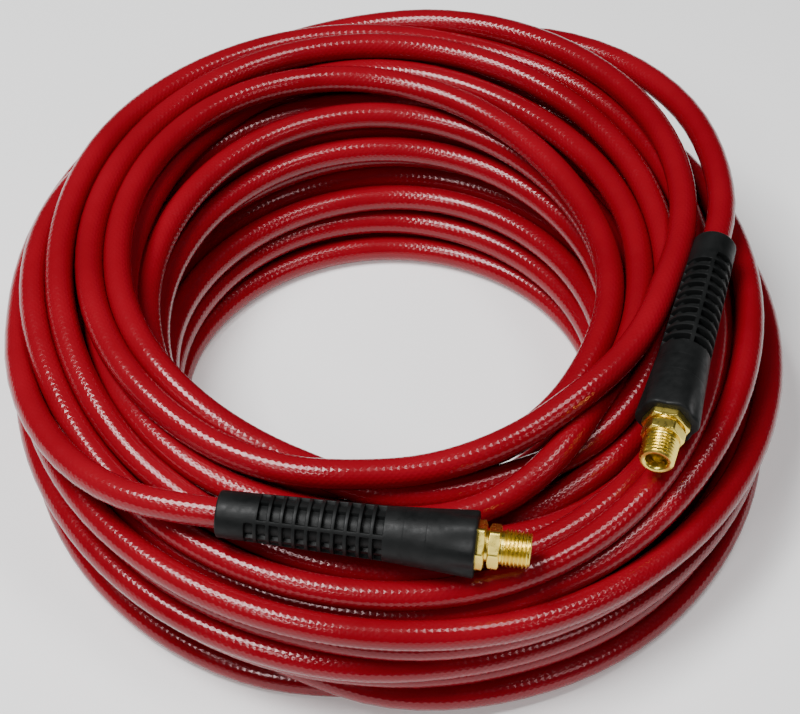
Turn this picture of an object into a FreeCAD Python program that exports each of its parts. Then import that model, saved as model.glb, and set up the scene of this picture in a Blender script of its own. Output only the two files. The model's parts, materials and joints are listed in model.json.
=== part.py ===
import FreeCAD, Part
import math
import os
import Sketcher

# Coiled air hose: 30.5 m of 1/4 in bore hose lying in a loose round coil, with a rubber
# bend restrictor and a brass swivel end, 1/4 in male taper pipe thread, on each end.
# Millimetres, +Z up. The origin is on the resting surface under the middle of the coil,
# and -Y is the front, where end A lies across the coil and end B points.

doc = FreeCAD.newDocument("coiled_air_hose")
sheet = doc.addObject("Spreadsheet::Sheet", "Sizes")

SIZES = [
    # the hose, from the bore outwards
    ("hose_outer_radius", 5.6),
    ("hose_bore_radius", 3.175),
    ("liner_outer_radius", 4.2),
    ("braid_outer_radius", 4.5),
    # bend restrictor, from its small end at 0 to its wide end
    ("boot_length", 92.5),
    ("boot_lip_radius", 8.0),
    ("boot_collar_radius", 8.5),
    ("boot_collar_length", 10.6),
    ("boot_waist_radius", 9.9),
    ("boot_waist_at", 61.0),
    ("boot_wide_radius", 11.9),
    ("boot_edge_round", 0.8),
    ("boot_sleeve_radius", 6.7),
    ("window_pitch", 4.6),
    ("window_length", 3.3),
    ("window_angle", 81),
    ("window_columns", 10),
    ("window_rows", 4),
    # crimp ferrule
    ("ferrule_start", 60.5),
    ("ferrule_radius", 6.7),
    ("ferrule_wall_end", 1.2),
    ("ferrule_groove_depth", 0.35),
    ("ferrule_groove_pitch", 5.4),
    # barbed stem with the large hexagon and its socket
    ("stem_start", 62.0),
    ("stem_bore_radius", 2.3),
    ("barb_root_radius", 2.85),
    ("barb_pitch", 4.2),
    ("stem_neck_radius", 3.3),
    ("head_start", 84.0),
    ("head_hex_start", 86.6),
    ("head_flats", 15.875),
    ("head_showing", 3.0),
    ("hex_chamfer", 0.7),
    ("socket_radius", 4.6),
    ("socket_bottom", 86.9),
    ("socket_mouth_radius", 5.9),
    # swivel fitting
    ("spigot_radius", 4.54),
    ("spigot_bore_radius", 2.7),
    ("spigot_start", 87.1),
    ("swivel_gap", 1.0),
    ("collar_radius", 5.7),
    ("nut_flats", 14.29),
    ("nut_length", 4.3),
    ("thread_length", 10.7),
    ("thread_pitch", 1.411),
    ("thread_radius", 6.8),
    ("thread_depth", 0.85),
    ("thread_taper", 0.03125),
    ("mouth_radius", 4.0),
    ("mouth_depth", 9.5),
    ("mouth_chamfer", 0.6),
    # seal and retaining wire
    ("seal_at", 89.3),
    ("seal_wire_radius", 0.58),
    ("seal_groove_radius", 3.38),
    ("seal_groove_width", 1.5),
    ("wire_at", 93.0),
    ("wire_radius", 0.45),
    ("wire_ring_radius", 4.62),
    ("wire_groove_width", 1.1),
    ("wire_groove_outer", 5.12),
    ("wire_groove_inner", 4.05),
    # coil
    ("coil_foot_outer", 148),
    ("coil_foot_inner", 91),
    ("coil_belly_outer", 157),
    ("coil_belly_inner", 86),
    ("coil_below", 2),
    ("coil_low", 10),
    ("coil_middle", 40),
    ("coil_shoulder", 72),
    ("coil_top", 90),
    ("coil_shoulder_outer", 149),
    ("coil_shoulder_inner", 90),
    ("coil_crown_outer", 139),
    ("coil_crown_inner", 104),
    ("coil_lean", 15),
    ("coil_upright_at", 25),
    ("top_height_front", 68),
    ("top_height_back", 90),
    ("coil_depth_ratio", 0.97),
    ("bed_radius", 13.2),
    ("groove_clearance", 0.3),
]

for row, (alias, value) in enumerate(SIZES, start=1):
    sheet.set("A%d" % row, alias)
    sheet.set("B%d" % row, str(value))
    sheet.setAlias("B%d" % row, alias)
doc.recompute()


class Size:
    """A length with its value and the spreadsheet formula that gives it."""

    def __init__(self, value, text):
        self.value = float(value)
        self.text = text

    def __add__(self, other):
        other = as_size(other)
        return Size(self.value + other.value, "(%s + %s)" % (self.text, other.text))

    def __sub__(self, other):
        other = as_size(other)
        return Size(self.value - other.value, "(%s - %s)" % (self.text, other.text))

    def __mul__(self, factor):
        factor = as_size(factor)
        return Size(self.value * factor.value, "(%s * %s)" % (self.text, factor.text))


def as_size(number):
    return number if isinstance(number, Size) else Size(number, repr(float(number)))


def size(alias):
    return Size(sheet.get(alias), "Sizes." + alias)


def bind(obj, prop, length):
    """Ties one property of an object to the spreadsheet."""
    obj.setExpression(prop, as_size(length).text)


# Routes of the two loose tails, each from a bend restrictor back to the coil. The first
# run lies on the axis of that end's fitting, so it also sets where the fitting points.
TAIL_ROUTES = {
    "a": [
        (-64.4, -115.0, 78.0),
        (-80.2, -112.6, 77.9),
        (-99.5, -105.5, 75.8),
        (-115.5, -94.0, 73.5),
        (-130.0, -77.5, 71.3),
        (-141.5, -56.5, 69.3),
        (-148.5, -33.0, 67.4),
        (-151.0, -8.0, 65.6),
    ],
    "b": [
        (124.2, 8.1, 88.0),
        (128.6, 22.5, 88.2),
        (130.5, 41.0, 87.3),
        (129.5, 62.0, 86.1),
        (125.3, 83.5, 84.7),
        (117.0, 103.0, 83.2),
        (104.0, 121.0, 81.6),
        (86.5, 136.0, 79.9),
        (65.0, 146.5, 78.0),
    ],
}


ENDS = ("a", "b")
UP = FreeCAD.Vector(0, 0, 1)
# how far the loose hose has rolled each end about its own axis, in degrees
END_ROLLS = {"a": 0, "b": 36}


def end_placement(end):
    """Local X runs along an end assembly, from the hose to the thread, and Z is upwards."""
    at, first = [FreeCAD.Vector(*point) for point in TAIL_ROUTES[end][:2]]
    along = at - first
    return FreeCAD.Placement(at, FreeCAD.Rotation(along, UP.cross(along), UP, "XZY"))


def rolled_placement(end):
    """The place of an end's own parts, which the hose has rolled about their axis."""
    roll = FreeCAD.Rotation(FreeCAD.Vector(1, 0, 0), END_ROLLS[end])
    return end_placement(end) * FreeCAD.Placement(FreeCAD.Vector(), roll)


def origin_plane(body, role):
    return [item for item in body.Origin.OriginFeatures if item.Role == role][0]


def outline(body, name, points, plane="XZ_Plane"):
    """A closed sketch of straight sides in a plane of the body: X along, Z or Y outwards."""
    sketch = body.newObject("Sketcher::SketchObject", name)
    sketch.AttachmentSupport = [(origin_plane(body, plane), "")]
    sketch.MapMode = "FlatFace"
    corners = [FreeCAD.Vector(as_size(along).value, as_size(out).value, 0) for along, out in points]
    count = len(corners)
    for index, corner in enumerate(corners):
        sketch.addGeometry(Part.LineSegment(corner, corners[(index + 1) % count]), False)
    for index in range(count):
        sketch.addConstraint(Sketcher.Constraint("Coincident", index, 2, (index + 1) % count, 1))
    for index, (along, out) in enumerate(points):
        for kind, length in (("DistanceX", as_size(along)), ("DistanceY", as_size(out))):
            number = sketch.addConstraint(Sketcher.Constraint(kind, -1, 1, index, 1, length.value))
            sketch.setExpression("Constraints[%d]" % number, length.text)
    return sketch


def turned_body(name, points):
    """A body turned about its own X axis from one outline."""
    body = doc.addObject("PartDesign::Body", name)
    sketch = outline(body, name + "_outline", points)
    turn = body.newObject("PartDesign::Revolution", name + "_turn")
    turn.Profile = sketch
    turn.ReferenceAxis = (sketch, ["H_Axis"])
    turn.Angle = 360
    body.Tip = turn
    return body


def combine(kind, name, base, tool):
    """Part::Cut or Part::Common of two objects."""
    result = doc.addObject(kind, name)
    result.Base = base
    result.Tool = tool
    return result


def hexagon_bar(name, flats, start, length):
    """A hexagonal bar along X, with its chamfered corners turned off at both faces."""
    bar = doc.addObject("Part::Prism", name + "_bar")
    bar.Polygon = 6
    bind(bar, "Circumradius", flats * (1 / math.sqrt(3)))
    bind(bar, "Height", length)
    bar.Placement = FreeCAD.Placement(
        FreeCAD.Vector(start.value, 0, 0), FreeCAD.Rotation(FreeCAD.Vector(0, 1, 0), 90))
    bind(bar, "Placement.Base.x", start)
    corner = flats * (1 / math.sqrt(3)) + 0.05
    face = flats * 0.5
    chamfer = size("hex_chamfer")
    blank = turned_body(name + "_blank", [
        (start, 0), (start, face), (start + chamfer, corner),
        (start + length - chamfer, corner), (start + length, face), (start + length, 0)])
    return combine("Part::Common", name, bar, blank)


def finish_node(obj, name, end=None):
    """Gives a finished sub-part its label and its place."""
    obj.Label = name
    if end:
        obj.Placement = rolled_placement(end)
    nodes.append(obj)
    return obj


def make_bend_restrictor(end):
    """Moulded rubber sleeve: plain collar, four rows of windows, smooth flared skirt."""
    name = "bend_restrictor_" + end
    edge = size("boot_edge_round")
    length = size("boot_length")
    hose = size("hose_outer_radius")
    ferrule_at = size("ferrule_start")
    head_at = size("head_hex_start")
    corner = size("head_flats") * (1 / math.sqrt(3)) + 0.08
    body = turned_body(name, [
        (0, hose), (0, size("boot_lip_radius")), (edge, size("boot_collar_radius")),
        (size("boot_waist_at"), size("boot_waist_radius")),
        (length - edge, size("boot_wide_radius")), (length, size("boot_wide_radius") - edge),
        (length, corner), (head_at, corner), (head_at, size("ferrule_radius")),
        (ferrule_at, size("ferrule_radius")), (ferrule_at, hose)])
    first = size("boot_collar_length") + size("window_pitch")
    floor = size("boot_sleeve_radius")
    outside = size("boot_wide_radius") + 2
    sketch = outline(body, name + "_window_outline", [
        (first, floor), (first, outside),
        (first + size("window_length"), outside), (first + size("window_length"), floor)])
    window = window_groove(body, name + "_window", sketch)
    grid = body.newObject("PartDesign::MultiTransform", name + "_windows")
    columns = body.newObject("PartDesign::LinearPattern", name + "_columns")
    columns.Direction = (sketch, ["H_Axis"])
    columns.Occurrences = int(size("window_columns").value)
    bind(columns, "Length", size("window_pitch") * (size("window_columns").value - 1))
    rows = body.newObject("PartDesign::PolarPattern", name + "_rows")
    rows.Axis = (sketch, ["H_Axis"])
    rows.Angle = 360
    rows.Occurrences = int(size("window_rows").value)
    grid.Originals = [window]
    grid.Transformations = [columns, rows]
    body.Tip = grid
    # the front and back rows start one window nearer the small end
    near = size("boot_collar_length")
    sketch_near = outline(body, name + "_near_outline", [
        (near, floor), (near, outside),
        (near + size("window_length"), outside), (near + size("window_length"), floor)], "XY_Plane")
    near_window = window_groove(body, name + "_near_window", sketch_near)
    pair = body.newObject("PartDesign::PolarPattern", name + "_near_windows")
    pair.Axis = (sketch_near, ["H_Axis"])
    pair.Angle = 360
    pair.Occurrences = 2
    pair.Originals = [near_window]
    body.Tip = pair
    finish_node(body, name, end)


def window_groove(body, name, sketch):
    """One window: its outline swept part of a turn round the sleeve, half each way."""
    groove = body.newObject("PartDesign::Groove", name)
    groove.Profile = sketch
    groove.ReferenceAxis = (sketch, ["H_Axis"])
    bind(groove, "Angle", size("window_angle"))
    groove.Midplane = True
    body.Tip = groove
    return groove


def make_hose_layer(end, layer, inner, outer):
    """One layer of the hose inside the bend restrictor, up to the ferrule's end wall."""
    name = "hose_%s_%s" % (layer, end)
    stop = size("head_start") - size("ferrule_wall_end")
    body = turned_body(name, [(0, inner), (0, outer), (stop, outer), (stop, inner)])
    finish_node(body, name, end)


def make_ferrule(end):
    """Brass sleeve crimped over the hose, with three rolled grooves and an end wall."""
    name = "crimp_ferrule_" + end
    start = size("ferrule_start")
    stop = size("head_start")
    outer = size("ferrule_radius")
    root = outer - size("ferrule_groove_depth")
    inner = size("hose_outer_radius")
    points = [(start, inner), (start, outer)]
    for index in range(3):
        middle = start + size("ferrule_groove_pitch") * (index + 1)
        points += [(middle - 1.2, outer), (middle - 0.6, root), (middle + 0.6, root), (middle + 1.2, outer)]
    points += [(stop, outer), (stop, size("stem_neck_radius")),
               (stop - size("ferrule_wall_end"), size("stem_neck_radius")),
               (stop - size("ferrule_wall_end"), inner)]
    finish_node(turned_body(name, points), name, end)


def make_stem(end):
    """Brass stem: barbs that the hose is pushed on to, and a hexagon head with a socket."""
    name = "barbed_stem_" + end
    start = size("stem_start")
    root = size("barb_root_radius")
    tip = size("hose_bore_radius")
    bore = size("stem_bore_radius")
    head = size("head_start")
    hex_at = size("head_hex_start")
    stop = size("boot_length") + size("head_showing")
    wall = head - size("ferrule_wall_end")
    points = [(start, bore), (start, root)]
    for index in range(4):
        at = start + size("barb_pitch") * (index + 1)
        points += [(at, tip), (at, root)]
    points += [(wall, root), (wall, size("stem_neck_radius")), (head, size("stem_neck_radius")),
               (head, size("ferrule_radius")), (hex_at + 1, size("ferrule_radius")), (hex_at + 1, bore)]
    shank = turned_body(name + "_shank", points)
    head_bar = hexagon_bar(name + "_head", size("head_flats"), hex_at, stop - hex_at)
    solid = doc.addObject("Part::Fuse", name + "_solid")
    solid.Base = shank
    solid.Tool = head_bar
    socket = size("socket_radius")
    wire = size("wire_at")
    half = size("wire_groove_width") * 0.5
    groove = size("wire_groove_outer")
    mouth = size("socket_mouth_radius")
    hole = turned_body(name + "_socket", [
        (start - 1, 0), (start - 1, bore), (size("socket_bottom"), bore),
        (size("socket_bottom"), socket), (wire - half, socket), (wire - half, groove),
        (wire + half, groove), (wire + half, socket), (stop - 0.8, socket),
        (stop - 0.8, mouth), (stop + 1, mouth), (stop + 1, 0)])
    finish_node(combine("Part::Cut", name, solid, hole), name, end)


def make_swivel_fitting(end):
    """Brass fitting that turns in the socket: spigot, collar, hexagon and taper thread."""
    name = "swivel_fitting_" + end
    face = size("boot_length") + size("head_showing") + size("swivel_gap")
    nut_stop = face + size("nut_length")
    stop = nut_stop + size("thread_length")
    spigot = size("spigot_radius")
    bore = size("spigot_bore_radius")
    seal = size("seal_at")
    seal_half = size("seal_groove_width") * 0.5
    wire = size("wire_at")
    wire_half = size("wire_groove_width") * 0.5
    collar_at = face - size("swivel_gap") - 0.5
    points = [
        (size("spigot_start"), bore), (size("spigot_start"), spigot),
        (seal - seal_half, spigot), (seal - seal_half, size("seal_groove_radius")),
        (seal + seal_half, size("seal_groove_radius")), (seal + seal_half, spigot),
        (wire - wire_half, spigot), (wire - wire_half, size("wire_groove_inner")),
        (wire + wire_half, size("wire_groove_inner")), (wire + wire_half, spigot),
        (collar_at, spigot), (collar_at, size("collar_radius")), (face + 1, size("collar_radius")),
        (face + 1, size("thread_radius") - size("thread_depth"))]
    points += thread_outline(nut_stop, stop)
    mouth = size("mouth_radius")
    chamfer = size("mouth_chamfer")
    points += [(stop, mouth + chamfer), (stop - chamfer, mouth),
               (stop - size("mouth_depth"), mouth), (stop - size("mouth_depth"), bore)]
    turned = turned_body(name + "_turned", points)
    nut_bar = hexagon_bar(name + "_nut", size("nut_flats"), face, size("nut_length"))
    nut = combine("Part::Cut", name + "_nut_ring", nut_bar, through_bore(name, bore, stop))
    fitting = doc.addObject("Part::Fuse", name)
    fitting.Base = turned
    fitting.Tool = nut
    fitting.Refine = True
    finish_node(fitting, name, end)


def through_bore(name, radius, stop):
    """A rod that clears the fitting's bore out of its hexagon."""
    rod = doc.addObject("Part::Cylinder", name + "_bore")
    bind(rod, "Radius", radius + 1.3)
    bind(rod, "Height", stop)
    rod.Placement = FreeCAD.Placement(FreeCAD.Vector(0, 0, 0), FreeCAD.Rotation(FreeCAD.Vector(0, 1, 0), 90))
    return rod


def thread_outline(start, stop):
    """Crests and roots of the taper thread, smaller towards its end."""
    pitch = size("thread_pitch")
    turns = int(size("thread_length").value / pitch.value)
    crest = size("thread_radius")
    depth = size("thread_depth")
    taper = size("thread_taper")
    points = [(start, crest - depth)]
    for turn in range(turns):
        low = start + pitch * (turn + 0.5)
        peak = start + pitch * (turn + 1)
        points += [(low, crest - depth - taper * (pitch * (turn + 0.5))),
                   (peak - 0.08, crest - taper * (pitch * (turn + 1))),
                   (peak + 0.08, crest - taper * (pitch * (turn + 1)))]
    end_radius = crest - depth - taper * size("thread_length")
    points += [(start + pitch * (turns + 0.4), end_radius), (stop, end_radius - 0.1)]
    return points


def make_ring(name, end, at, ring_radius, wire_radius):
    """A round ring about the local X axis."""
    ring = doc.addObject("Part::Torus", name)
    bind(ring, "Radius1", ring_radius)
    bind(ring, "Radius2", wire_radius)
    ring.Label = name
    across = FreeCAD.Placement(FreeCAD.Vector(at.value, 0, 0), FreeCAD.Rotation(FreeCAD.Vector(0, 1, 0), 90))
    ring.Placement = end_placement(end) * across
    nodes.append(ring)


def make_seal_and_wire(end):
    """O-ring in the spigot's groove, and the round wire that holds the spigot in."""
    seal_ring = size("seal_groove_radius") + size("seal_wire_radius") + 0.01
    make_ring("swivel_seal_" + end, end, size("seal_at"), seal_ring, size("seal_wire_radius"))
    make_ring("retaining_wire_" + end, end, size("wire_at"), size("wire_ring_radius"), size("wire_radius"))


def rounded_path(points):
    """Straight runs joined by tangent arcs; prints the arc radii."""
    corners = [FreeCAD.Vector(*point) for point in points]
    edges = []
    radii = []
    here = corners[0]
    for before, corner, after in zip(corners, corners[1:], corners[2:]):
        back = before - corner
        onward = after - corner
        reach = 0.45 * min(back.Length, onward.Length)
        half_turn = (math.pi - back.getAngle(onward)) / 2
        radii.append(reach / math.tan(half_turn))
        first = corner + back.normalize() * reach
        last = corner + onward.normalize() * reach
        inward = (first + last) * 0.5 - corner
        middle = corner + inward.normalize() * (radii[-1] / math.cos(half_turn) - radii[-1])
        edges.append(Part.LineSegment(here, first).toShape())
        edges.append(Part.Arc(first, middle, last).toShape())
        here = last
    edges.append(Part.LineSegment(here, corners[-1]).toShape())
    print("arc radii", [round(radius, 1) for radius in radii])
    return Part.Wire(edges)


def tube_along(path, start, way, radius):
    """A round rod along a path, checked against its section times its length."""
    ring = Part.Wire(Part.Circle(start, way, radius).toShape())
    rod = path.makePipeShell([ring], True, False)
    print("rod volume over section x length", rod.Volume / (math.pi * radius ** 2 * path.Length))
    return rod


def make_tail(end):
    """The loose end of the hose, and the slightly larger groove that it lies in."""
    points = TAIL_ROUTES[end]
    path = rounded_path(points)
    start = FreeCAD.Vector(*points[0])
    way = FreeCAD.Vector(*points[1]) - start
    radius = size("hose_outer_radius").value
    tail = doc.addObject("Part::Feature", "hose_tail_" + end)
    tail.Shape = tube_along(path, start, way, radius)
    finish_node(tail, "hose_tail_" + end)
    groove = doc.addObject("Part::Feature", "tail_groove_" + end)
    groove.Shape = tube_along(path, start, way, radius + size("groove_clearance").value)
    return groove


def end_bed(end):
    """The room that an end assembly takes up in the top of the coil, open upwards."""
    radius = size("bed_radius")
    length = size("boot_length") + size("head_showing") + size("nut_length") + size("thread_length") + 4
    rod = doc.addObject("Part::Cylinder", "bed_rod_" + end)
    bind(rod, "Radius", radius)
    bind(rod, "Height", length)
    along = FreeCAD.Placement(FreeCAD.Vector(-1, 0, 0), FreeCAD.Rotation(FreeCAD.Vector(0, 1, 0), 90))
    rod.Placement = end_placement(end) * along
    lid = doc.addObject("Part::Box", "bed_lid_" + end)
    bind(lid, "Length", length)
    bind(lid, "Width", radius * 2)
    bind(lid, "Height", radius * 3)
    lid.Placement = end_placement(end) * FreeCAD.Placement(FreeCAD.Vector(-1, -radius.value, 0), FreeCAD.Rotation())
    bed = doc.addObject("Part::Fuse", "bed_" + end)
    bed.Base = rod
    bed.Tool = lid
    return bed


def floor_block(thickness):
    """A block under the resting surface, wider than the coil."""
    reach = size("coil_belly_outer") + 20
    block = doc.addObject("Part::Box", "floor_block")
    bind(block, "Length", reach * 2)
    bind(block, "Width", reach * 2)
    bind(block, "Height", thickness * 2)
    bind(block, "Placement.Base.x", reach * -1)
    bind(block, "Placement.Base.y", reach * -1)
    bind(block, "Placement.Base.z", thickness * -2)
    return block


def block_over_top():
    """A tilted block over the coil, whose top slopes down to the front."""
    reach = size("coil_belly_outer") + 20
    front = size("top_height_front").value
    rise = math.atan2(size("top_height_back").value - front, 2 * size("coil_shoulder_outer").value)
    block = doc.addObject("Part::Box", "block_over_top")
    bind(block, "Length", reach * 2)
    bind(block, "Width", reach * 2.2)
    bind(block, "Height", size("coil_top"))
    block.Placement = FreeCAD.Placement(
        FreeCAD.Vector(-reach.value, -size("coil_shoulder_outer").value, front),
        FreeCAD.Rotation(FreeCAD.Vector(1, 0, 0), math.degrees(rise)))
    return block


def make_coil(rooms):
    """The coiled hose as one closed ring, with room cut for the ends that lie on it.

    The ring is a little wider than deep, leans back, and is lower in front.
    """
    below = size("coil_below")
    low = size("coil_low")
    middle = size("coil_middle")
    shoulder = size("coil_shoulder")
    top = size("coil_top")
    # the outline is drawn in the XZ plane with its height along the turning axis
    upright = turned_body("coil_upright", [
        (below * -1, size("coil_foot_inner")), (low, size("coil_belly_inner")), (middle, size("coil_belly_inner")),
        (shoulder, size("coil_shoulder_inner")), (top, size("coil_crown_inner")),
        (top, size("coil_crown_outer")), (shoulder, size("coil_shoulder_outer")),
        (middle, size("coil_belly_outer")), (low, size("coil_belly_outer")), (below * -1, size("coil_foot_outer"))])
    doc.recompute()
    stand_up = FreeCAD.Placement(FreeCAD.Vector(), FreeCAD.Rotation(FreeCAD.Vector(0, 1, 0), -90))
    lean = FreeCAD.Matrix()
    lean.A22 = size("coil_depth_ratio").value
    lean.A23 = size("coil_lean").value / top.value
    lean.A24 = -lean.A23 * size("coil_upright_at").value
    leaning = doc.addObject("Part::Feature", "coil_leaning")
    leaning.Shape = upright.Shape.transformGeometry(lean * stand_up.toMatrix())
    body = combine("Part::Cut", "coil_flat_foot", leaning, floor_block(below))
    body = combine("Part::Cut", "coil_sloping_top", body, block_over_top())
    for number, room in enumerate(rooms):
        body = combine("Part::Cut", "coil_less_%d" % number, body, room)
    finish_node(body, "hose_coil")


nodes = []
rooms = []
for end in ENDS:
    make_bend_restrictor(end)
    make_ferrule(end)
    make_stem(end)
    make_swivel_fitting(end)
    make_seal_and_wire(end)
    make_hose_layer(end, "liner", size("hose_bore_radius"), size("liner_outer_radius"))
    make_hose_layer(end, "braid", size("liner_outer_radius"), size("braid_outer_radius"))
    make_hose_layer(end, "cover", size("braid_outer_radius"), size("hose_outer_radius"))
    rooms.append(make_tail(end))
    rooms.append(end_bed(end))
make_coil(rooms)

doc.recompute()
for item in doc.Objects:
    if "Invalid" in item.State or "Error" in item.State:
        raise RuntimeError("%s failed: %s" % (item.Name, item.State))
for node in nodes:
    if node.Shape.isNull() or not node.Shape.isValid():
        raise RuntimeError("%s has no valid shape" % node.Label)

os.makedirs("parts", exist_ok=True)
for node in nodes:
    node.Shape.exportStep("parts/%s.step" % node.Label)
    print(node.Label, len(node.Shape.Solids), round(node.Shape.Volume, 1))
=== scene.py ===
import json
import math

import bpy
import numpy as np
from mathutils import Matrix, Vector

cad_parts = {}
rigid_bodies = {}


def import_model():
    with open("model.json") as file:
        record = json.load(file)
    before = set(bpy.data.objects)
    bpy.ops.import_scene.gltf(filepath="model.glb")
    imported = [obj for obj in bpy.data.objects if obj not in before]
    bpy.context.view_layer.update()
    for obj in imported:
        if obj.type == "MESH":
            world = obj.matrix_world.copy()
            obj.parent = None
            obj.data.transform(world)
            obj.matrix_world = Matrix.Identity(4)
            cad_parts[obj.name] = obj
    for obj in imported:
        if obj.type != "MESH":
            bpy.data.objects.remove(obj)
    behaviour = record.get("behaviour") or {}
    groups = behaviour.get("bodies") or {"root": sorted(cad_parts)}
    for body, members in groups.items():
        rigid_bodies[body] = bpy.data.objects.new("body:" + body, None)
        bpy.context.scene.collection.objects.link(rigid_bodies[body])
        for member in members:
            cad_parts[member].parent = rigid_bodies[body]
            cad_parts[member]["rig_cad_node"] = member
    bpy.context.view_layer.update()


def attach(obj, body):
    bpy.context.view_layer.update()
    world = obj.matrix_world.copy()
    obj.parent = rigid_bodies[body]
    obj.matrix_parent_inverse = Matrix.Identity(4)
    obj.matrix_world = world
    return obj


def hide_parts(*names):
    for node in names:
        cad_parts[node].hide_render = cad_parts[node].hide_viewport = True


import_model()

# Coiled air hose: 100 ft of red hose in a loose round coil, with a black rubber bend
# restrictor and a brass swivel end on each end. Shapes are drawn in millimetres and turned
# into metres where an object is made.
MM = 0.001

# 100 ft of hose is 30.48 m, and each end hides about 0.09 m of it
HOSE_RADIUS = 5.6
BOOT_LENGTH = 92.5
END_LENGTH = 111.5
BRASS_ROOM = 8.6
BOOT_ROOM = (8.5, 11.9)

# Routes of the two loose tails, from each bend restrictor back to the coil, in metres.
TAIL_A = [
    (-0.0644, -0.1150, 0.0780),
    (-0.0802, -0.1126, 0.0779),
    (-0.0995, -0.1055, 0.0758),
    (-0.1155, -0.0940, 0.0735),
    (-0.1300, -0.0775, 0.0713),
    (-0.1415, -0.0565, 0.0693),
    (-0.1485, -0.0330, 0.0674),
    (-0.1510, -0.0080, 0.0656),
]
TAIL_B = [
    (0.1242, 0.0081, 0.0880),
    (0.1286, 0.0225, 0.0882),
    (0.1305, 0.0410, 0.0873),
    (0.1295, 0.0620, 0.0861),
    (0.1253, 0.0835, 0.0847),
    (0.1170, 0.1030, 0.0832),
    (0.1040, 0.1210, 0.0816),
    (0.0865, 0.1360, 0.0799),
    (0.0650, 0.1465, 0.0780),
]
TAILS = {"a": np.array(TAIL_A) / MM, "b": np.array(TAIL_B) / MM}


def make_camera():
    """Looks at the coil from in front and above, with a long lens."""
    data = bpy.data.cameras.new("camera")
    data.sensor_fit = "HORIZONTAL"
    data.sensor_width = 36
    data.lens = 85.5
    camera = bpy.data.objects.new("camera", data)
    camera.location = (0, -0.51685, 0.62419)
    camera.rotation_euler = (math.radians(41.05), 0, 0)
    bpy.context.scene.collection.objects.link(camera)
    bpy.context.scene.camera = camera


# ---------------------------------------------------------------- the coil's centreline

# Angles run clockwise seen from above, from the front (0) over the left (90), the back
# (180) and the right (270). The hose goes into the coil at tail A and leaves at tail B.
WHOLE_TURNS = 39
STEPS = 48
SETTLE_ROUNDS = 260
# A turn goes over to the next one's place in the part of a turn before this angle.
CHANGE_AT = 40
CHANGE_PART = 0.28
# Turns of each upright layer from the inside out, the height of its lowest turn, and
# the step from each turn to the one above.
LAYERS = [5, 6, 6, 7, 7, 5]
LAYER_FOOT = [5.6, 11.4, 5.6, 11.4, 5.6, 5.6]
LAYER_STEP = [14.5, 11.3, 11.3, 11.3, 11.3, 9.9]
# Turns that lie on top of the layers.
TOP_TURNS = 3
# How much lower the inner layers lie at the front, as a share of their height.
FRONT_DIP = 0.2
# Ovals that the wall's inside and outside follow on the floor and at its top:
# half width, half depth, and the middle's x and y.
INNER_FOOT = (94, 92, -6, -3)
INNER_TOP = (97, 110, -10, 11)
OUTER_FOOT = (146, 145, 2, 1)
OUTER_TOP = (148.5, 146.5, 0, 1)
WALL_RISE = 76

# Strands that lie in plain view follow stations of (angle, distance from the middle,
# height). The first three turns come out of tail A along the outside, cross to the
# inside and then lie on top of the rest.
FIRST_TURNS = [
    (85, 151.2, 65.6), (115, 152.5, 66.5), (140, 154, 70), (165, 156.5, 75), (182, 155.5, 80),
    (197, 151, 86), (215, 144, 88.5), (233, 135, 88.5), (254, 118.5, 88.5), (275, 105, 87.5),
    (300, 96, 85.5), (330, 92, 80.5), (360, 95, 74.5), (382, 99.5, 73), (405, 109, 76.5),
    (430, 117.5, 83), (457, 124, 84), (490, 134, 84), (521, 138, 85), (545, 135, 84),
    (570, 126, 82), (597, 115, 80.5), (619, 107, 78.5), (645, 104, 74.5), (675, 101, 67.5),
    (705, 96, 64), (735, 92.5, 65.5), (752, 94.5, 71), (769, 100, 78), (790, 106.5, 83),
    (818, 113, 84), (841, 120.5, 84), (866, 125, 83), (885, 122, 81.5), (909, 109, 80),
    (931, 95, 79), (954, 85.5, 79), (980, 83, 79), (1008, 83.5, 77.5), (1030, 85, 74),
    (1055, 88, 69), (1080, 91, 64.5), (1110, 94, 61.5), (1140, 97, 60.5)]
EMERGING_STRAND = [
    (115, 128, 69), (145, 132, 73.5), (175, 130, 77), (197, 117, 77), (219, 108, 77.5),
    (244, 101, 78), (275, 94, 77), (300, 95, 72.5), (330, 100, 66), (355, 104.5, 61)]
SUNKEN_STRAND = [
    (-25, 101, 65), (0, 105, 60), (29, 110, 62.5), (45, 117, 67), (65, 120.5, 73), (82, 122, 72),
    (105, 125, 67)]
NEXT_STRAND = [
    (-75, 124, 72), (-40, 126, 62), (-15, 127.5, 57), (12, 125.5, 57.5), (36, 122.5, 62.5),
    (60, 129, 70), (75, 131.5, 79), (97, 135.5, 84), (120, 143.5, 84), (150, 147.5, 82.5),
    (180, 147.5, 79.5), (210, 141.7, 77.5), (232, 133, 77), (250, 122, 75), (285, 116, 71)]
OUTER_STRAND = [
    (-75, 134, 71), (-40, 135, 65.5), (-15, 136.5, 58.5), (12, 137.5, 57), (40, 138, 58.5),
    (56, 137.5, 64), (72, 141, 74), (88, 145.5, 80), (105, 149, 78), (122, 146.5, 72),
    (145, 140, 71.5), (175, 137, 72)]
LAST_TURN = [
    (-250, 150, 52), (-200, 150, 53), (-140, 149, 54), (-110, 148, 55), (-80, 146, 57),
    (-50, 146, 63), (-25, 151, 71), (0, 160.3, 78)]


def around(points):
    """Angle, distance from the middle, and height of points."""
    x, y, z = points[..., 0], points[..., 1], points[..., 2]
    return np.arctan2(-x, -y), np.hypot(x, y), z


def ease(t):
    t = np.clip(t, 0, 1)
    return t * t * (3 - 2 * t)


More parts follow.
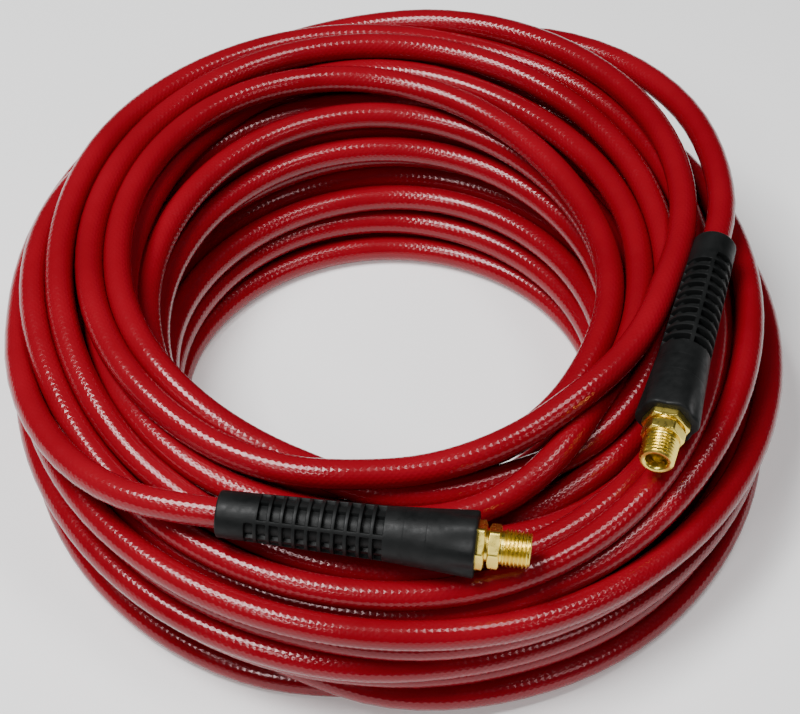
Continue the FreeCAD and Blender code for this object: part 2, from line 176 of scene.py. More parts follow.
def flowing(x, at, values):
    """A smooth line through stations."""
    slope = np.gradient(values, at)
    k = np.clip(np.searchsorted(at, x, side="right") - 1, 0, len(at) - 2)
    gap = at[k + 1] - at[k]
    t = (x - at[k]) / gap
    return ((2 * t**3 - 3 * t**2 + 1) * values[k] + (t**3 - 2 * t**2 + t) * gap * slope[k]
            + (3 * t**2 - 2 * t**3) * values[k + 1] + (t**3 - t**2) * gap * slope[k + 1])


def oval(angle, half_width, half_depth, x, y):
    """Distance from the middle to an oval round (x, y)."""
    across, along = -np.sin(angle), -np.cos(angle)
    a = (across / half_width) ** 2 + (along / half_depth) ** 2
    b = -2 * (across * x / half_width**2 + along * y / half_depth**2)
    c = (x / half_width) ** 2 + (y / half_depth) ** 2 - 1
    return (np.sqrt(b * b - 4 * a * c) - b) / (2 * a)


def turn_places():
    """Place of each turn across the coil's wall (0 inner, 1 outer) and its height.

    The coil is wound in upright layers, one outside the other, down one and up the next.
    """
    places = [(0.2, 85.0)] * TOP_TURNS
    for layer, (count, foot, step) in enumerate(zip(LAYERS, LAYER_FOOT, LAYER_STEP)):
        heights = [foot + step * level for level in range(count)]
        if layer % 2 == 0:
            heights.reverse()
        places += [(layer / (len(LAYERS) - 1), height) for height in heights]
    return np.array(places)


def spread_along(angle, values):
    """A value per turn, changing from each turn to the next in the last part of a turn."""
    count = (angle - math.radians(CHANGE_AT)) / (2 * math.pi)
    turn = np.floor(count).astype(int)
    t = ease((count - turn - (1 - CHANGE_PART)) / CHANGE_PART)
    here = np.clip(turn, 0, len(values) - 1)
    after = np.clip(turn + 1, 0, len(values) - 1)
    return values[here] * (1 - t) + values[after] * t


def wanted_line(angle):
    """Where each point of the coil wants to lie, and how firmly (0 loose, 1 held)."""
    places = turn_places()
    loose = np.random.default_rng(5)
    count = len(places)
    shift_x = spread_along(angle, loose.normal(0, 1.6, count))
    shift_y = spread_along(angle, loose.normal(0, 1.6, count))
    wider = spread_along(angle, loose.normal(0, 1.0, count))
    height = spread_along(angle, places[:, 1] + loose.normal(0, 0.8, count))
    place = spread_along(angle, places[:, 0])
    from_front = abs((angle + math.pi) % (2 * math.pi) - math.pi)
    dip = ease((math.radians(75) - from_front) / math.radians(45)) * ease((1 - place) / 0.2)
    height = HOSE_RADIUS + (height - HOSE_RADIUS) * (1 - FRONT_DIP * dip)
    up = np.clip((height - HOSE_RADIUS) / WALL_RISE, 0, 1.1)
    inner = oval(angle, *INNER_FOOT) * (1 - up) + oval(angle, *INNER_TOP) * up
    outer = oval(angle, *OUTER_FOOT) * (1 - up) + oval(angle, *OUTER_TOP) * up
    out = inner + (outer - inner) * place - shift_x * np.sin(angle) - shift_y * np.cos(angle)
    out += wider
    held = 0.35 * ease((place - 0.8) / 0.2)
    end = math.degrees(angle[-1])
    second_full = TOP_TURNS + sum(LAYERS[:2])
    fourth_full = TOP_TURNS + sum(LAYERS[:4])
    routes = [
        (FIRST_TURNS, 0, 0.9, 0, 45),
        (EMERGING_STRAND, 360 * (second_full - 1), 0.6, 45, 20),
        (SUNKEN_STRAND, 360 * second_full, 0.5, 20, 30),
        (NEXT_STRAND, 360 * (fourth_full - 1), 0.65, 45, 40),
        (OUTER_STRAND, 360 * fourth_full, 0.65, 45, 45),
        (LAST_TURN, end, 1.0, 60, 0),
    ]
    for stations, offset, firm, fade_in, fade_out in routes:
        at = np.radians([row[0] + offset for row in stations])
        on = (angle >= at[0] - 1e-6) & (angle <= at[-1] + 1e-6)
        part = angle[on]
        weight = np.ones(len(part))
        if fade_in:
            weight *= ease((part - at[0]) / math.radians(fade_in))
        if fade_out:
            weight *= ease((at[-1] - part) / math.radians(fade_out))
        route_out = flowing(part, at, np.array([row[1] for row in stations], float))
        route_up = flowing(part, at, np.array([row[2] for row in stations], float))
        out[on] += (route_out - out[on]) * weight
        height[on] += (route_up - height[on]) * weight
        held[on] += (firm - held[on]) * weight
    return out, height, held


def sections_of(points, radii, angles):
    """(station, distance, height, radius) where a line passes each half-plane."""
    found = []
    for (start, stop), (near, far) in zip(zip(points, points[1:]), zip(radii, radii[1:])):
        steps = np.linspace(0, 1, 41)[:, None]
        line = start + (stop - start) * steps
        way, out, up = around(line)
        off = (way[:, None] - angles + math.pi) % (2 * math.pi) - math.pi
        for i, s in zip(*np.nonzero((off[:-1] * off[1:] <= 0) & (abs(off[:-1]) < 1))):
            share = off[i, s] / (off[i, s] - off[i + 1, s])
            t = (i + share) / 40
            found.append((s, out[i] + (out[i + 1] - out[i]) * share,
                          up[i] + (up[i + 1] - up[i]) * share, near + (far - near) * t))
    return found


def obstacles(angles):
    """Sections of the tails and the end assemblies, a table of rows per station."""
    found = []
    for tail in TAILS.values():
        way = (tail[0] - tail[1]) / np.linalg.norm(tail[0] - tail[1])
        boot = np.array([tail[0], tail[0] + way * BOOT_LENGTH])
        brass = np.array([tail[0] + way * BOOT_LENGTH, tail[0] + way * END_LENGTH])
        found += sections_of(boot, BOOT_ROOM, angles)
        found += sections_of(brass, (BRASS_ROOM, BRASS_ROOM), angles)
        found += sections_of(tail, [HOSE_RADIUS] * len(tail), angles)
    rows = max(sum(1 for item in found if item[0] == s) for s in range(len(angles)))
    table = np.full((len(angles), rows, 3), 1e5)
    table[:, :, 2] = 0
    used = [0] * len(angles)
    for s, out, up, radius in found:
        table[s, used[s]] = (out, up, radius)
        used[s] += 1
    return table


def smooth(values, amount):
    after = values.copy()
    after[1:-1] += amount * (values[2:] + values[:-2] - 2 * values[1:-1])
    return after


def settle(angle, want_out, want_up, held, rounds):
    """Lets the strands settle: each is drawn to its place and downwards, and pushed out
    of its neighbours, the tails, the end assemblies and the floor."""
    count = len(angle)
    station = np.arange(count) % STEPS
    most = int(np.ceil(count / STEPS))
    index = np.full((STEPS, most), -1)
    for s in range(STEPS):
        strand = np.nonzero(station == s)[0]
        index[s, :len(strand)] = strand
    real = index >= 0
    far_off = 1e6 + np.arange(most) * 1e4
    blocks = obstacles(angle[:STEPS])
    gives = 1 - 0.85 * held
    weight = np.where(real, gives[index], 0)
    share = weight[:, :, None] / (weight[:, :, None] + weight[:, None, :] + 1e-9)
    pull_out = 0.03 + 0.22 * held
    pull_up = 0.01 + 0.24 * held
    out, up = want_out.copy(), want_up.copy()
    own = np.arange(most)
    for step in range(rounds):
        sink = 0.06 if step < rounds * 0.75 else 0.018
        up = up - sink * (1 - held)
        out += (want_out - out) * pull_out
        up += (want_up - up) * pull_up
        out = want_out + smooth(out - want_out, 0.3)
        up = want_up + smooth(up - want_up, 0.3)
        for repeat in range(4):
            r = np.where(real, out[index], far_off)
            h = np.where(real, up[index], 1e6)
            dr = r[:, :, None] - r[:, None, :]
            dh = h[:, :, None] - h[:, None, :]
            apart = np.sqrt(dr * dr + dh * dh) + 1e-9
            into = np.clip(2 * HOSE_RADIUS - apart, 0, None)
            into[:, own, own] = 0
            push_r = (into * share * dr / apart).sum(2) * 0.6
            push_h = (into * share * dh / apart).sum(2) * 0.6
            dr = r[:, :, None] - blocks[:, None, :, 0]
            dh = h[:, :, None] - blocks[:, None, :, 1]
            apart = np.sqrt(dr * dr + dh * dh) + 1e-9
            into = np.clip(blocks[:, None, :, 2] + HOSE_RADIUS - apart, 0, None)
            push_r += (into * dr / apart).sum(2) * 0.8
            push_h += (into * dh / apart).sum(2) * 0.8
            out[index[real]] += push_r[real]
            up[index[real]] += push_h[real]
            up = np.maximum(up, HOSE_RADIUS)
        out[[0, -1]] = want_out[[0, -1]]
        up[[0, -1]] = want_up[[0, -1]]
    return out, up


def coil_line():
    """The hose's whole centreline in metres: tail A, the settled coil, and tail B."""
    first = around(TAILS["a"][-1])[0]
    last = around(TAILS["b"][-1])[0] % (2 * math.pi) + 2 * math.pi * WHOLE_TURNS
    steps = int(round((last - first) / (2 * math.pi) * STEPS))
    angle = first + np.arange(steps + 1) * (2 * math.pi / STEPS)
    out, up, held = wanted_line(angle)
    for repeat in range(6):
        out, up = smooth(out, 0.3), smooth(up, 0.3)
    out, up = settle(angle, out, up, held, SETTLE_ROUNDS)
    coil = np.stack([-out * np.sin(angle), -out * np.cos(angle), up], axis=1)
    return np.vstack([TAILS["a"], coil[1:-1], TAILS["b"][::-1]]) * MM


def settled_path():
    """The hose's centreline as a smooth spline through the settled points."""
    line = coil_line()
    data = bpy.data.curves.new("hose_line", "CURVE")
    data.dimensions = "3D"
    spline = data.splines.new("NURBS")
    spline.points.add(len(line) - 1)
    for point, place in zip(spline.points, line):
        point.co = (*place, 1)
    spline.order_u = 3
    spline.use_endpoint_u = True
    data.resolution_u = 2
    guide = bpy.data.objects.new("hose_line", data)
    mesh = bpy.data.meshes.new_from_object(guide)
    path = np.array([vertex.co for vertex in mesh.vertices])
    bpy.data.meshes.remove(mesh)
    bpy.data.objects.remove(guide)
    bpy.data.curves.remove(data)
    return path


def new_object(name, vertices, faces, body, nodes, material, uv=None):
    """A smooth mesh piece, in metres, that stands in for CAD nodes and rides on a body."""
    mesh = bpy.data.meshes.new(name)
    mesh.from_pydata([tuple(v) for v in vertices], [], faces)
    if uv is not None:
        layer = mesh.uv_layers.new(name="along_and_round")
        layer.data.foreach_set("uv", np.asarray(uv, dtype=np.float32).ravel())
    mesh.polygons.foreach_set("use_smooth", [True] * len(mesh.polygons))
    mesh.set_sharp_from_angle(angle=math.radians(38))
    mesh.materials.append(material)
    obj = bpy.data.objects.new(name, mesh)
    bpy.context.scene.collection.objects.link(obj)
    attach(obj, body)
    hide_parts(*nodes)
    return obj


def make_hose(material):
    """The whole hose as one tube, with a map of millimetres along it and turns round it."""
    path = settled_path()
    sides = 22
    way = np.gradient(path, axis=0)
    way /= np.linalg.norm(way, axis=1)[:, None]
    side = np.zeros_like(way)
    side[0] = np.cross(way[0], (0, 0, 1))
    for i in range(1, len(way)):
        side[i] = side[i - 1] - way[i] * (side[i - 1] @ way[i])
        side[i] /= np.linalg.norm(side[i])
    top = np.cross(way, side)
    turn = np.arange(sides) * (2 * math.pi / sides)
    ring = np.cos(turn)[None, :, None] * side[:, None] + np.sin(turn)[None, :, None] * top[:, None]
    vertices = (path[:, None] + ring * HOSE_RADIUS * MM).reshape(-1, 3)
    along = np.concatenate([[0], np.cumsum(np.linalg.norm(np.diff(path, axis=0), axis=1))]) / MM
    faces, uv = [], []
    for i in range(len(path) - 1):
        for j in range(sides):
            k = (j + 1) % sides
            faces.append((i * sides + j, i * sides + k, (i + 1) * sides + k, (i + 1) * sides + j))
            uv += [(along[i], j / sides), (along[i], (j + 1) / sides),
                   (along[i + 1], (j + 1) / sides), (along[i + 1], j / sides)]
    faces.append(tuple(range(sides))[::-1])
    uv += [(0, 0)] * sides
    last = (len(path) - 1) * sides
    faces.append(tuple(range(last, last + sides)))
    uv += [(along[-1], 0)] * sides
    hose = new_object("air_hose", vertices, faces, "hose",
                      ["hose_coil", "hose_tail_a", "hose_tail_b"], material, uv)
    return hose, path


# ---------------------------------------------------------------- turned and moulded ends

HEX_FLATS = 15.875
NUT_FLATS = 14.29
BOOT_WAIST_AT = 61.0
WINDOW_FIRST = 10.6
WINDOW_PITCH = 4.6
WINDOW_LENGTH = 3.3
WINDOW_COUNT = 11
WINDOW_HALF_ANGLE = 40.5
WINDOW_FLOOR = 6.7
WINDOW_EDGE = [-0.28, -0.12, -0.04, 0.02, 0.12]
SHELF_RADIUS = 8.1
SHELF_FROM = 52
# ribs of each end with no shelf behind the windows beside them, this one and its opposite
OPEN_RIBS = {"a": 45, "b": 135}
HEAD_AT = 86.6
FACE_AT = 95.5
NUT_AT = 96.5
NUT_LENGTH = 4.3
THREAD_LENGTH = 10.7
THREAD_PITCH = 1.411
THREAD_RADIUS = 6.8
THREAD_DEPTH = 0.85
# how far the loose hose has rolled each end about its own axis, in degrees
END_ROLLS = {"a": 0, "b": 36}


def end_frame(end):
    """X runs from the hose to the thread along an end assembly, and Z is upwards before
    the end is rolled about X."""
    tail = TAILS[end]
    x = Vector(tail[0] - tail[1]).normalized()
    y = Vector((0, 0, 1)).cross(x).normalized()
    z = x.cross(y)
    frame_of_end = Matrix((x, y, z)).transposed().to_4x4()
    frame_of_end.translation = Vector(tail[0]) * MM
    return frame_of_end @ Matrix.Rotation(math.radians(END_ROLLS[end]), 4, "X")


def turned(name, end, rows, degrees, shape, body, node, material):
    """A closed form round X. rows are (x, radius, kind) round its section, degrees run
    from the top towards the front, and shape gives each row's radius at every angle."""
    angle = np.radians(degrees)
    place = np.array(end_frame(end))
    vertices = []
    for x, radius, kind in rows:
        r = shape(x, radius, kind, degrees) * np.ones(len(angle))
        local = np.stack([np.full(len(angle), x), -r * np.sin(angle), r * np.cos(angle)], axis=1) * MM
        vertices.append(local @ place[:3, :3].T + place[:3, 3])
    count = len(angle)
    faces, uv = [], []
    run = np.concatenate([[0], np.cumsum([math.dist(a[:2], b[:2]) for a, b in zip(rows, rows[1:])])])
    for i in range(len(rows)):
        n = (i + 1) % len(rows)
        for j in range(count):
            k = (j + 1) % count
            faces.append((i * count + j, i * count + k, n * count + k, n * count + j))
            u0, u1 = run[i], run[n] if n else run[i] + 1
            v0, v1 = degrees[j] / 360, degrees[k] / 360 if k else degrees[0] / 360 + 1
            uv += [(u0, v0), (u0, v1), (u1, v1), (u1, v0)]
    return new_object(name, np.vstack(vertices), faces, body, [node], material, uv)


def hexagon(degrees, flats, round_off):
    """Radius of a hexagon with a corner at the top, its corners turned off a little."""
    across = np.radians(degrees % 60 - 30)
    corner = flats / math.sqrt(3) - round_off
    return soft_min(flats / 2 / np.cos(across), corner, 0.08)


def soft_min(a, b, blend):
    gap = np.clip(0.5 + 0.5 * (b - a) / blend, 0, 1)
    return b * (1 - gap) + a * gap - blend * gap * (1 - gap)


def boot_outside(x):
    return np.interp(x, [0, 0.2, 0.5, 0.9, BOOT_WAIST_AT, 91.5, 92.1, 92.4, BOOT_LENGTH],
                     [8.0, 8.3, 8.46, 8.5, 9.9, 11.9, 11.75, 11.45, 11.1])


def window_depth(x, degrees, outside, open_rib):
    """How far the windows go in at this x: rows of four, with two rows one window longer."""
    number = math.floor((x - WINDOW_FIRST + 0.6) / WINDOW_PITCH)
    if not 0 <= number < WINDOW_COUNT:
        return np.zeros(len(degrees))
    start = WINDOW_FIRST + number * WINDOW_PITCH
    off_x = abs(x - start - WINDOW_LENGTH / 2) - WINDOW_LENGTH / 2
    row = np.round(degrees / 90)
    off_round = np.radians(abs(degrees - row * 90) - WINDOW_HALF_ANGLE) * outside
    corner = 1.1 if number == 0 else 0.3
    qx, qr = off_x + corner, off_round + corner
    into = -(np.hypot(np.clip(qx, 0, None), np.clip(qr, 0, None))
             + np.minimum(np.maximum(qx, qr), 0) - corner)
    from_rib = abs((degrees - open_rib) % 180)
    from_rib = np.minimum(from_rib, 180 - from_rib)
    shelf = ease((from_rib - SHELF_FROM) / 3)
    floor = outside - (WINDOW_FLOOR + (SHELF_RADIUS - WINDOW_FLOOR) * shelf)
    depth = np.interp(into, WINDOW_EDGE, [0, 0.03, 0.12, 0.3, 1])
    depth = np.where(depth < 0.3, depth, (depth - 0.3) / 0.7 * floor + 0.3 * (1 - depth) / 0.7)
    if number == 0:
        depth = np.where(row % 2 == 1, depth, 0)
    return depth


def boot_shape(end):
    """Radius of the bend restrictor, with no shelves beside the end's open ribs."""
    def shape(x, radius, kind, degrees):
        if kind == "pocket":
            return hexagon(degrees, HEX_FLATS, 0.3) + 0.1
        if kind != "outside":
            return radius
        outside = radius - window_depth(x, degrees, radius, OPEN_RIBS[end])
        mark = sum(0.05 * math.exp(-((x - at) / 0.16) ** 2) for at in (67.0, 75.2))
        stretch = float(ease((x - 76) / 16))
        flat = (1 - np.cos(np.radians(degrees * 6))) / 2
        return outside - mark - stretch * (1.15 * flat ** 1.5 - 0.15)
    return shape


def boot_rows():
    """The section of a bend restrictor: outside, rim, hexagonal pocket and sleeve."""
    lines = [0.2, 0.5, 0.9]
    lines += list(np.arange(1.6, WINDOW_FIRST - 0.5, 1.5))
    for number in range(WINDOW_COUNT):
        start = WINDOW_FIRST + number * WINDOW_PITCH
        stop = start + WINDOW_LENGTH
        inside = 7 if number == 0 else 3
        lines += [start + step for step in WINDOW_EDGE]
        lines += list(np.linspace(start + 0.3, stop - 0.3, inside))
        lines += [stop - step for step in reversed(WINDOW_EDGE)]
    lines += list(np.linspace(BOOT_WAIST_AT, 66, 5))
    lines += [66.6 + 0.1 * step for step in range(9)]
    lines += list(np.linspace(68, 74.5, 5))
    lines += [74.8 + 0.1 * step for step in range(9)]
    lines += list(np.linspace(76.2, 91.3, 20)) + [91.7, 92.1, 92.4]
    rows = [(0, 5.65, "sleeve"), (0, 7.6, "lip"), (0, 8.0, "outside")]
    rows += [(x, float(boot_outside(x)), "outside") for x in lines]
    rows += [(BOOT_LENGTH, 11.1, "outside"), (BOOT_LENGTH, 9.5, "pocket"), (HEAD_AT, 9.5, "pocket"),
             (HEAD_AT, WINDOW_FLOOR, "sleeve"), (60.5, WINDOW_FLOOR, "sleeve"),
             (60.5, 5.65, "sleeve")]
    return rows


def boot_degrees(end):
    """Angles that fall on the windows' edges and shelves, from -45 to 315."""
    marks = set(np.arange(-45, 315, 3.0))
    for middle in (0, 90, 180, 270):
        for side in (-1, 1):
            edge = WINDOW_HALF_ANGLE
            marks |= {middle + side * (edge + step) for step in (1.8, 0.8, 0.25, -0.15, -0.8)}
    for rib in (OPEN_RIBS[end], OPEN_RIBS[end] + 180):
        for side in (-1, 1):
            marks |= {rib + side * (SHELF_FROM + step) for step in (0, 1, 2, 3)}
    marks = sorted((mark + 45) % 360 - 45 for mark in marks)
    kept = [marks[0]]
    for mark in marks[1:]:
        if mark - kept[-1] > 0.3:
            kept.append(mark)
    return np.array(kept)


def nut_rows(start, stop, flats, chamfer):
    """Rows of a hexagon whose corners are turned off at both faces."""
    face = flats / 2 - 0.25
    corner = flats / math.sqrt(3)
    rows = []
    for step in np.linspace(0, 1, 9):
        rows.append((start + chamfer * step, face + (corner - face) * step, "hexagon"))
    middle = np.linspace(start + chamfer + 0.2, stop - chamfer - 0.2, 5)
    rows += [(x, corner + 1, "hexagon") for x in middle]
    for step in np.linspace(1, 0, 9):
        rows.append((stop - chamfer * step, face + (corner - face) * step, "hexagon"))
    return rows


def hex_shape(flats):
    def shape(x, radius, kind, degrees):
        if kind == "hexagon":
            return soft_min(hexagon(degrees, flats, 0.22), radius, 0.06)
        if kind == "thread":
            return thread_radius(x, degrees)
        return radius
    return shape


def thread_radius(x, degrees):
    """A taper thread that runs out at the hexagon and is chamfered at its end."""
    start = NUT_AT + NUT_LENGTH
    along = x - start
    phase = (along / THREAD_PITCH - degrees / 360) % 1
    height = np.clip((1 - abs(2 * phase - 1) - 0.1) / 0.78, 0, 1)
    rise = float(ease((along - 0.5) / 1.2))
    root = THREAD_RADIUS - THREAD_DEPTH - along / 32
    radius = root + THREAD_DEPTH * height * rise
    end_cone = root + 0.1 + (THREAD_LENGTH - along) * 1.1
    return soft_min(radius, end_cone, 0.06)


def stem_rows():
    """Barbs on the shank, then the hexagon head with a recessed socket."""
    rows = [(62, 2.3, ""), (62, 2.85, "")]
    for number in range(4):
        at = 62 + 4.2 * (number + 1)
        rows += [(at - 0.1, 3.17, ""), (at, 3.1, ""), (at + 0.05, 2.85, "")]
    rows += [(82.8, 2.85, ""), (82.9, 3.3, ""), (84, 3.3, ""), (84.1, 6.6, ""), (86.5, 6.6, "")]
    rows += nut_rows(HEAD_AT, FACE_AT, HEX_FLATS, 0.75)
    rows += [(FACE_AT, 7.2, ""), (FACE_AT - 0.12, 7.0, ""), (FACE_AT - 0.12, 6.15, ""),
             (FACE_AT - 0.35, 5.95, ""), (FACE_AT - 0.8, 5.9, ""), (FACE_AT - 0.8, 4.65, ""),
             (93.5, 4.65, ""), (93.5, 5.1, ""), (92.5, 5.1, ""), (92.5, 4.65, ""),
             (86.9, 4.65, ""), (86.9, 2.3, "")]
    return rows


def fitting_rows():
    """Grooved spigot, collar, hexagon, taper thread and open mouth."""
    stop = NUT_AT + NUT_LENGTH + THREAD_LENGTH
    rows = [(87.1, 2.7, ""), (87.1, 4.4, ""), (87.3, 4.54, ""), (88.55, 4.54, ""), (88.55, 3.38, ""),
            (90.05, 3.38, ""), (90.05, 4.54, ""), (92.45, 4.54, ""), (92.45, 4.05, ""), (93.55, 4.05, ""),
            (93.55, 4.54, ""), (FACE_AT - 0.55, 4.54, ""), (FACE_AT - 0.5, 5.55, ""),
            (FACE_AT - 0.35, 5.7, ""),
            (NUT_AT - 0.1, 5.7, ""), (NUT_AT, 5.8, "")]
    rows += nut_rows(NUT_AT, NUT_AT + NUT_LENGTH, NUT_FLATS, 0.65)
    start = NUT_AT + NUT_LENGTH
    rows += [(start, 6.3, ""), (start, 6.05, "")]
    rows += [(x, THREAD_RADIUS, "thread") for x in np.arange(start + 0.05, stop - 0.02, 0.14)]
    rows += [(stop, THREAD_RADIUS, "thread"), (stop, 4.75, ""), (stop - 0.12, 4.55, ""),
             (stop - 0.6, 4.05, ""), (stop - 0.8, 4.0, ""), (stop - 5, 4.0, ""), (stop - 9.5, 4.0, ""),
             (stop - 9.9, 2.7, "")]
    return rows


# ---------------------------------------------------------------- materials

class Nodes:
    """Short forms for building one material's nodes."""

    def __init__(self, name, colour, roughness, metallic=0.0):
        self.material = bpy.data.materials.new(name)
        self.material.use_nodes = True
        self.tree = self.material.node_tree
        self.shader = self.tree.nodes["Principled BSDF"]
        self.set("Base Color", (*colour, 1))
        self.set("Roughness", roughness)
        self.set("Metallic", metallic)

    def set(self, name, value):
        self.shader.inputs[name].default_value = value

    def node(self, kind, **values):
        made = self.tree.nodes.new("ShaderNode" + kind)
        for key, value in values.items():
            if key in made.bl_rna.properties:
                setattr(made, key, value)
            else:
                made.inputs[key.replace("_", " ")].default_value = value
        return made

    def link(self, source, target):
        self.tree.links.new(source, target)

    def math(self, operation, first, second=0.0, third=0.0):
        made = self.node("Math", operation=operation)
        for socket, value in zip(made.inputs, (first, second, third)):
            if isinstance(value, (int, float)):
                socket.default_value = value
            else:
                self.link(value, socket)
        return made.outputs[0]

    def ramp(self, source, stops):
        made = self.node("ValToRGB")
        points = made.color_ramp.elements
        for extra in range(len(stops) - 2):
            points.new(0.5)
        for point, (place, colour) in zip(points, stops):
            point.position = place
            point.color = (*colour, 1)
        self.link(source, made.inputs[0])
        return made.outputs[0]

    def noise(self, scale, detail=3.0, coords=None):
        made = self.node("TexNoise", Scale=scale, Detail=detail)
        self.link(coords or self.node("TexCoord").outputs["Object"], made.inputs["Vector"])
        return made.outputs["Fac"]

    def remap(self, source, low, high, to_low, to_high):
        made = self.node("MapRange")
        for name, value in (("From Min", low), ("From Max", high), ("To Min", to_low), ("To Max", to_high)):
            made.inputs[name].default_value = value
        self.link(source, made.inputs["Value"])
        return made.outputs[0]

    def bump(self, height, strength, distance, under=None):
        made = self.node("Bump", Strength=strength, Distance=distance)
        self.link(height, made.inputs["Height"])
        if under:
            self.link(under, made.inputs["Normal"])
        return made.outputs[0]

    def drive(self, name, source):
        self.link(source, self.shader.inputs[name])


def hose_material():
    """Glossy red hose: the braid underneath shows through as a fine lattice of bumps."""
    n = Nodes("hose_red", (0.3, 0.003, 0.008), 0.3)
    split = n.node("SeparateXYZ")
    n.link(n.node("TexCoord").outputs["UV"], split.inputs[0])
    along, turn = split.outputs[0], split.outputs[1]
    wander = n.math("MULTIPLY", n.noise(60, 2), 0.5)
    pitch = n.math("ADD", n.math("DIVIDE", along, 2.7), wander)
    rounds = n.math("MULTIPLY", turn, 15)
    one = n.math("SINE", n.math("MULTIPLY", n.math("ADD", pitch, rounds), 2 * math.pi))
    other = n.math("SINE", n.math("MULTIPLY", n.math("SUBTRACT", pitch, rounds), 2 * math.pi))
    lattice = n.math("MAXIMUM", one, other)
    depth = n.remap(n.noise(35, 2), 0.35, 0.65, 0.55, 1.0)
    braid = n.bump(n.math("MULTIPLY", lattice, depth), 0.35, 0.00009)
    grain = n.bump(n.noise(1400, 2), 0.15, 0.0001, braid)
    n.drive("Normal", grain)
    tone = n.ramp(n.noise(18, 4), [(0.3, (0.175, 0.0028, 0.0075)), (0.7, (0.235, 0.0042, 0.011))])
    n.drive("Base Color", tone)
    n.drive("Roughness", n.remap(n.noise(240, 3), 0.3, 0.7, 0.13, 0.22))
    n.set("Specular IOR Level", 0.41)
    n.set("Specular Tint", (1.0, 0.74, 0.76, 1))
    return n.material


def rubber_material():
    """Black moulded rubber: satin, faintly mottled, with a fine grain and dust in it."""
    n = Nodes("boot_rubber", (0.006, 0.0065, 0.0062), 0.45)
    tones = [(0.3, (0.004, 0.0045, 0.0045)), (0.72, (0.010, 0.0105, 0.0105))]
    n.drive("Base Color", n.ramp(n.noise(90, 5), tones))
    n.drive("Roughness", n.remap(n.noise(420, 4), 0.3, 0.7, 0.38, 0.56))
    n.drive("Normal", n.bump(n.noise(1900, 3), 0.25, 0.00012))
    n.set("Specular IOR Level", 0.16)
    return n.material


def brass_material(name, colour):
    """Turned brass: fine lathe rings, a little uneven tarnish."""
    n = Nodes(name, colour, 0.2, 1.0)
    split = n.node("SeparateXYZ")
    n.link(n.node("TexCoord").outputs["UV"], split.inputs[0])
    rings = n.node("CombineXYZ")
    n.link(n.math("MULTIPLY", split.outputs[0], 9), rings.inputs[0])
    n.link(n.math("MULTIPLY", split.outputs[1], 1.5), rings.inputs[1])
    lines = n.noise(1.0, 2, rings.outputs[0])
    n.drive("Normal", n.bump(lines, 0.05, 0.00005))
    dark = tuple(part * 0.93 for part in colour)
    n.drive("Base Color", n.ramp(n.noise(160, 4), [(0.3, dark), (0.62, colour)]))
    n.drive("Roughness", n.remap(n.noise(500, 3), 0.3, 0.7, 0.25, 0.33))
    return n.material


def plain_part(name, dark, light, roughness, scale, metallic=0.0):
    """A material for the parts inside, mottled and finely grained."""
    n = Nodes(name, light, roughness, metallic)
    n.drive("Base Color", n.ramp(n.noise(scale, 4), [(0.3, dark), (0.7, light)]))
    n.drive("Roughness", n.remap(n.noise(scale * 3, 3), 0.3, 0.7, roughness * 0.8, roughness * 1.2))
    n.drive("Normal", n.bump(n.noise(scale * 8, 2), 0.2, 0.0001))
    return n.material


def braid_material():
    """White yarn braid: two crossing sets of yarns, coloured darker where the weave is low, which is
    painted shade in the grooves between the yarns.
    """
    n = Nodes("braid_yarn", (0.75, 0.73, 0.68), 0.8)
    heights = []
    for turn in (0.9, -0.9):
        mapping = n.node("Mapping")
        mapping.inputs["Rotation"].default_value = (0, turn, turn)
        n.link(n.node("TexCoord").outputs["Object"], mapping.inputs["Vector"])
        wave = n.node("TexWave", Scale=260.0, Distortion=0.4)
        n.link(mapping.outputs[0], wave.inputs["Vector"])
        heights.append(wave.outputs["Fac"])
    weave = n.math("MAXIMUM", heights[0], heights[1])
    # The colour follows the weave's height. The darker low parts are painted shade in the grooves between
    # the yarns.
    n.drive("Base Color", n.ramp(weave, [(0.2, (0.45, 0.43, 0.38)), (0.8, (0.80, 0.78, 0.72))]))
    n.drive("Normal", n.bump(weave, 0.6, 0.0002))
    return n.material


def dress_frame(materials):
    """Gives every CAD node that stays its own material."""
    for obj in bpy.data.objects:
        if obj.type == "MESH" and "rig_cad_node" in obj:
            kind = obj.name.rsplit("_", 1)[0]
            obj.data.materials.clear()
            obj.data.materials.append(materials.get(kind, materials["hose_cover"]))


# ---------------------------------------------------------------- floor and light

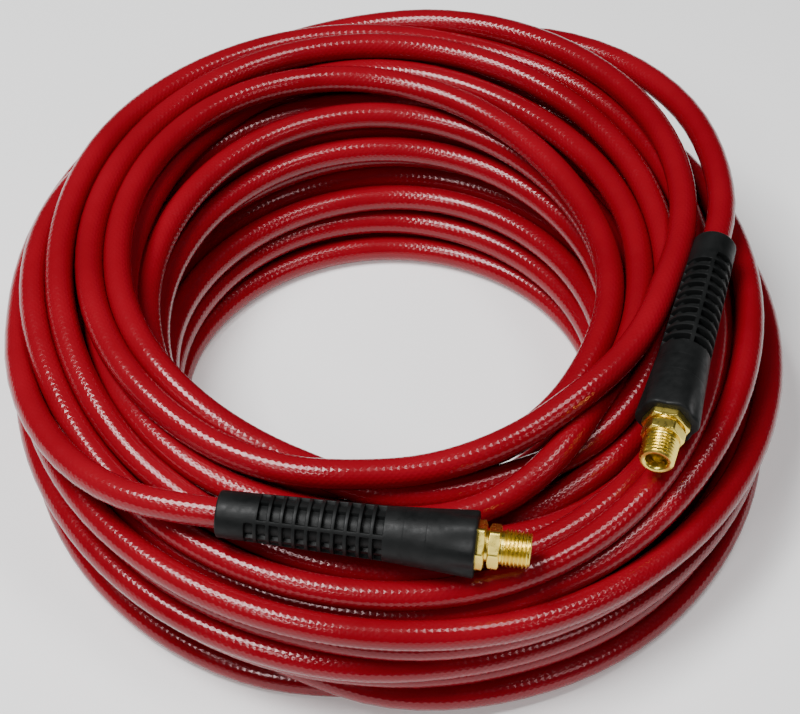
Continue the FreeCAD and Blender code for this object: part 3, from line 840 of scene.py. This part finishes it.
def make_stage():
    """A plain pale floor, two broad soft lights overhead and weaker ones in front."""
    bpy.ops.mesh.primitive_plane_add(size=8, location=(0, 0, 0))
    floor = bpy.context.object
    floor.name = "floor"
    pale = Nodes("pale_floor", (0.9, 0.9, 0.9), 0.8)
    pale.set("Emission Color", (1, 1, 1, 1))
    pale.set("Emission Strength", 0.18)
    floor.data.materials.append(pale.material)
    world = bpy.data.worlds.new("studio")
    world.use_nodes = True
    world.node_tree.nodes["Background"].inputs["Color"].default_value = (1, 1, 1, 1)
    world.node_tree.nodes["Background"].inputs["Strength"].default_value = 0.03
    bpy.context.scene.world = world
    lights = [
        ("overhead_left", (-0.5, -0.15, 1.3), (0.55, 0.5), 27),
        ("overhead_right", (0.36, 0.0, 1.35), (0.40, 0.3), 6),
        ("front_left", (-0.7, -1.2, 1.5), (0.3, 0.3), 7),
        ("front_right", (1.0, -0.8, 1.1), (0.3, 0.3), 2),
    ]
    for name, place, (width, depth), power in lights:
        data = bpy.data.lights.new(name, "AREA")
        data.shape = "RECTANGLE"
        data.size, data.size_y = width, depth
        data.energy = power
        light = bpy.data.objects.new(name, data)
        light.location = place
        light.rotation_euler = (-Vector(place)).to_track_quat("-Z", "Y").to_euler()
        bpy.context.scene.collection.objects.link(light)


# ---------------------------------------------------------------- the scene

make_camera()
rubber = rubber_material()
brass = brass_material("brass", (0.92, 0.72, 0.15))
red = hose_material()
hose, hose_path = make_hose(red)
all_round = np.arange(0, 360, 3.0)
fine_round = np.arange(0, 360, 2.5)
for end in ("a", "b"):
    boot = turned("boot_" + end, end, boot_rows(), boot_degrees(end), boot_shape(end),
                  "hose", "bend_restrictor_" + end, rubber)
    stem = turned("stem_head_" + end, end, stem_rows(), all_round, hex_shape(HEX_FLATS),
                  "hose", "barbed_stem_" + end, brass)
    fitting = turned("threaded_end_" + end, end, fitting_rows(), fine_round, hex_shape(NUT_FLATS),
                     "swivel_" + end, "swivel_fitting_" + end, brass)
dress_frame({
    "hose_cover": plain_part("inner_red", (0.22, 0.003, 0.006), (0.34, 0.005, 0.010), 0.35, 60),
    "hose_liner": plain_part("liner_black", (0.01, 0.01, 0.01), (0.03, 0.03, 0.03), 0.5, 80),
    "hose_braid": braid_material(),
    "crimp_ferrule": plain_part("ferrule_brass", (0.60, 0.42, 0.14), (0.83, 0.60, 0.22), 0.28, 140, 1.0),
    "swivel_seal": plain_part("seal_rubber", (0.008, 0.008, 0.008), (0.02, 0.02, 0.02), 0.45, 120),
    "retaining_wire": plain_part("spring_steel", (0.35, 0.35, 0.36), (0.6, 0.6, 0.62), 0.25, 200, 1.0),
})
make_stage()
